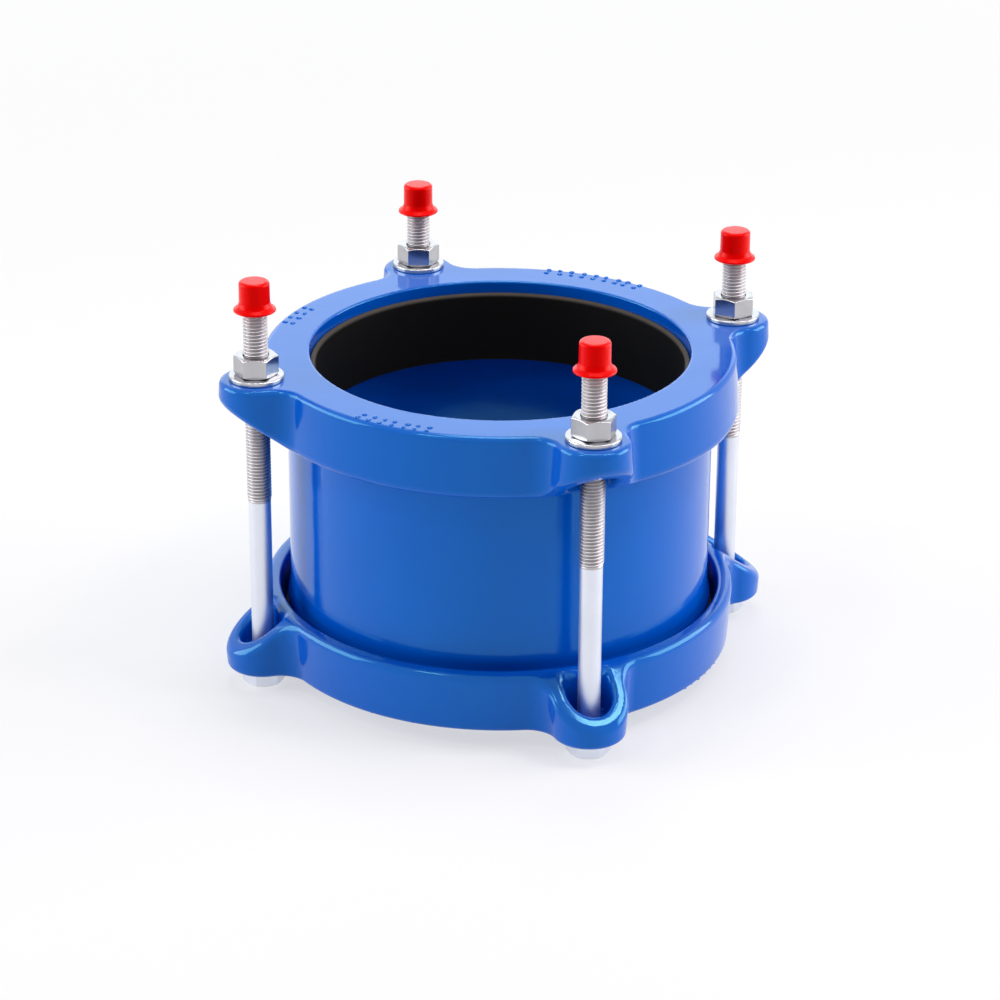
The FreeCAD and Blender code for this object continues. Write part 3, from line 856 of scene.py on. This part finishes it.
def hexPiece(name, flats, bottom, top, place, turn, bore=0):
    # a hexagon whose corners a cone turns off at both ends; bore is the radius of its hole
    disc = flats / 2 * 0.965
    steepness = 0.5
    edge = 0.3
    bevel = 0.6

    def fall(distance):
        return max(0.0, distance - disc) * steepness

    def section(d):
        # (radius, depth below the end face) from the middle out to the contour's distance d
        inner = [(bore, bevel), (bore + bevel, 0)] if bore else [(0, 0)]
        outer = [
            (disc - edge, 0),
            (disc, 0.04),
            (d - edge, fall(d - edge)),
            (d - edge * 0.3, fall(d) + edge * 0.1),
            (d, fall(d) + edge),
        ]
        return inner + outer

    verts = []
    contour = hexOutline(flats)
    for angle, distance in contour:
        half = section(distance)
        rows = [(r, bottom + depth) for r, depth in half] + [(r, top - depth) for r, depth in reversed(half)]
        heading = angle + math.radians(turn)
        for r, z in rows:
            verts.append(tuple((Vector((r * math.cos(heading), r * math.sin(heading), z)) + place) * mm))
    faces = []
    count = len(rows)
    for i in range(len(contour)):
        j = (i + 1) % len(contour)
        for k in range(count if bore else count - 1):
            m = (k + 1) % count
            faces.append([i * count + k, j * count + k, j * count + m, i * count + m])
    mesh = bpy.data.meshes.new(name)
    mesh.from_pydata(verts, [], faces)
    return mesh


def shankOutline(b):
    foot = b["head"] - b["inHead"]
    end = b["threadStart"] + b["inThread"]
    return [(0, foot), (b["shank"], foot), (b["shank"], end), (0, end)]


threadMesh = grown("thread", threadTree(boltSizes), {"Material": boltZinc})
for side, place in boltPlaces.items():
    head = hexPiece("head", boltSizes["flats"], 0, boltSizes["head"], place, boltTurns[side])
    shank = turned("shank", shankOutline(boltSizes), 48, place)
    thread = threadMesh.copy()
    thread.transform(Matrix.Translation(place * mm))
    mesh = settled(joined("bolt_" + side, [head, shank, thread]))
    finished("bolt_" + side, mesh, boltZinc, "lower_end", "bolt_" + side)
print("bolts", len(threadMesh.polygons))


nutSizes = {"flats": 19.0, "height": 10.0, "bore": 6.06, "foot": 164.5}
nutTurns = {"front": 52.5, "right": 11.0, "back": 41.5, "left": 40.5}
washerOutline = [(6.6, 0, 0.2), (13.4, 0, 0.5), (13.4, 2.5, 0.7), (6.6, 2.5, 0.4)]
capFeet = {"front": 196.1, "right": 193.6, "back": 192.2, "left": 196.9}
capOutline = [
    (6.06, 0, 0.3),
    (10.4, 0, 0.35),
    (10.1, 0.95, 0.35),
    (8.2, 2.3, 1.6),
    (7.5, 4.5, 3),
    (7.42, 15, 1.7),
    (0, 15, 0),
    (0, 13.8, 0),
    (6.06, 13.8, 0.5),
]


def above(place, height):
    return place + Vector((0, 0, height))


for side, place in boltPlaces.items():
    foot = above(place, nutSizes["foot"])
    flats, height, bore = [nutSizes[name] for name in ("flats", "height", "bore")]
    nut = hexPiece("nut_" + side, flats, 0, height, foot, nutTurns[side], bore)
    finished("nut_" + side, settled(nut), nutZinc, "nut_" + side, "nut_" + side)
    washer = turned("washer_" + side, rounded(washerOutline, 4), 96, above(place, ringFaces["upper"]))
    finished("washer_" + side, settled(washer), nutZinc, "upper_end", "washer_" + side)
    cap = turned("cap_" + side, rounded(capOutline, 6), 96, above(place, capFeet[side]))
    finished("threadCap_" + side, settled(cap), red, "cap_" + side, "thread_cap_" + side)
print("nuts, washers and caps")


# the floor is white where it is seen or mirrored and keeps its shadow; farther out it is all white
floorValues = {
    "dark": (0.93, 0.93, 0.935),
    "light": (0.95, 0.95, 0.95),
    "cloudScale": 3,
    "roughness": 0.8,
    "specular": 0.2,
    "whiteness": 0.6,
    "shadowReach": 0.5,
    "size": 60,
    "height": -0.0005,
}
skyValues = {"colour": (0.95, 0.97, 1.0), "strength": 0.15}


def lightPaths(graph):
    # 1 for what the camera sees, and 1 for what is mirrored or seen through glass
    camera = graph.add("ShaderNodeLightPath", None, None, "Is Camera Ray")
    return camera, graph.larger(camera.also("Is Glossy Ray"), camera.also("Is Transmission Ray"))


def studioFloor(values):
    material, graph, surface, where = newMaterial("floor")
    cloud = noise(graph, where, values["cloudScale"])
    graph.feed(surface.inputs["Base Color"], graph.colours(cloud, values["dark"], values["light"]))
    surface.inputs["Roughness"].default_value = values["roughness"]
    surface.inputs["Specular IOR Level"].default_value = values["specular"]
    camera, mirrored = lightPaths(graph)
    x, y, _ = graph.split(where)
    far = graph.clamped(graph.length(x, y) - values["shadowReach"])
    seen = camera * graph.between(far, values["whiteness"], 1.0)
    factor = graph.larger(seen, mirrored * values["whiteness"])
    white = graph.add("ShaderNodeEmission", None, {"Color": (1, 1, 1, 1), "Strength": 1.0})
    plain = Term(graph, surface.outputs[0])
    mixed = graph.add("ShaderNodeMixShader", None, {0: factor, 1: plain, 2: white})
    graph.feed(material.node_tree.nodes["Material Output"].inputs["Surface"], mixed)
    bpy.ops.mesh.primitive_plane_add(size=values["size"], location=(0, 0, values["height"]))
    floor = bpy.context.object
    floor.name = "floor"
    floor.data.materials.append(material)


def studioSky(values):
    world = bpy.data.worlds.new("studio")
    world.use_nodes = True
    bpy.context.scene.world = world
    background = world.node_tree.nodes["Background"]
    background.inputs["Color"].default_value = (*values["colour"], 1)
    background.inputs["Strength"].default_value = values["strength"]
    graph = Graph(world.node_tree)
    camera, mirrored = lightPaths(graph)
    white = graph.add("ShaderNodeBackground", None, {"Color": (1, 1, 1, 1), "Strength": 1.0})
    plain = Term(graph, background.outputs[0])
    mixed = graph.add("ShaderNodeMixShader", None, {0: graph.larger(camera, mirrored), 1: plain, 2: white})
    graph.feed(world.node_tree.nodes["World Output"].inputs["Surface"], mixed)


# in metres and watts; a lamp with a spin looks straight down, and the others look at the coupling
lamps = {
    "overhead": {"place": (0.05, -0.1, 1.6), "width": 0.75, "height": 0.07, "power": 4.5, "spin": -20.3},
    "ceiling": {"place": (0.156, 0.42, 1.5), "width": 0.5, "height": 0.7, "power": 5, "spin": -20.3},
    "left": {"place": (-2.4, 0.8, 0.9), "width": 2.0, "height": 1.7, "power": 44},
    "right": {"place": (2.5, -0.6, 0.9), "width": 2.0, "height": 1.7, "power": 50},
    "behind": {"place": (0.75, 2.2, 0.9), "width": 2.8, "height": 1.2, "power": 9, "tint": (0.82, 0.95, 1.0)},
    "front": {
        "place": (0.72, -0.53, 1.6),
        "width": 0.6,
        "height": 0.25,
        "power": 7,
        "spin": 0,
        "tint": (1.0, 0.82, 0.9),
    },
    "window": {"place": (-0.95, -0.48, 1.6), "width": 0.25, "height": 0.35, "power": 3.5, "spin": 20},
}


def softbox(name, place, width, height, power, spin=None, tint=(1, 1, 1), target=(0, 0, 0.1)):
    light = bpy.data.lights.new(name, "AREA")
    light.shape = "RECTANGLE"
    light.size = width
    light.size_y = height
    light.energy = power
    light.color = tint
    lamp = bpy.data.objects.new(name, light)
    lamp.location = place
    if spin is None:
        lamp.rotation_euler = (Vector(target) - Vector(place)).to_track_quat("-Z", "Y").to_euler()
    else:
        lamp.rotation_euler = (0, 0, math.radians(spin))
    bpy.context.scene.collection.objects.link(lamp)


# the camera fitted to the photo: angles in degrees, lens and sensor in millimetres, place in metres
cameraValues = {
    "heading": 69.751,
    "pitch": 23.86,
    "roll": 0.317,
    "lens": 119.3,
    "sensor": 36,
    "reach": 50,
    "place": (-0.52777, -1.43147, 0.75425),
}


def photoCamera(values):
    heading, pitch, roll = [math.radians(values[name]) for name in ("heading", "pitch", "roll")]
    level = Vector((math.cos(heading), math.sin(heading), 0)) * math.cos(pitch)
    forward = level - Vector((0, 0, math.sin(pitch)))
    right = Vector((math.sin(heading), -math.cos(heading), 0))
    up = right.cross(forward)
    across = right * math.cos(roll) + up * math.sin(roll)
    upward = up * math.cos(roll) - right * math.sin(roll)
    lens = bpy.data.cameras.new("camera")
    lens.lens = values["lens"]
    lens.sensor_width = values["sensor"]
    lens.clip_end = values["reach"]
    camera = bpy.data.objects.new("camera", lens)
    turn = Matrix((across, upward, -forward)).transposed()
    camera.matrix_world = Matrix.Translation(values["place"]) @ turn.to_4x4()
    bpy.context.scene.collection.objects.link(camera)
    bpy.context.scene.camera = camera


studioFloor(floorValues)
studioSky(skyValues)
for name, values in lamps.items():
    softbox(name, **values)
photoCamera(cameraValues)
bpy.context.scene.view_settings.view_transform = "Standard"
print("studio")
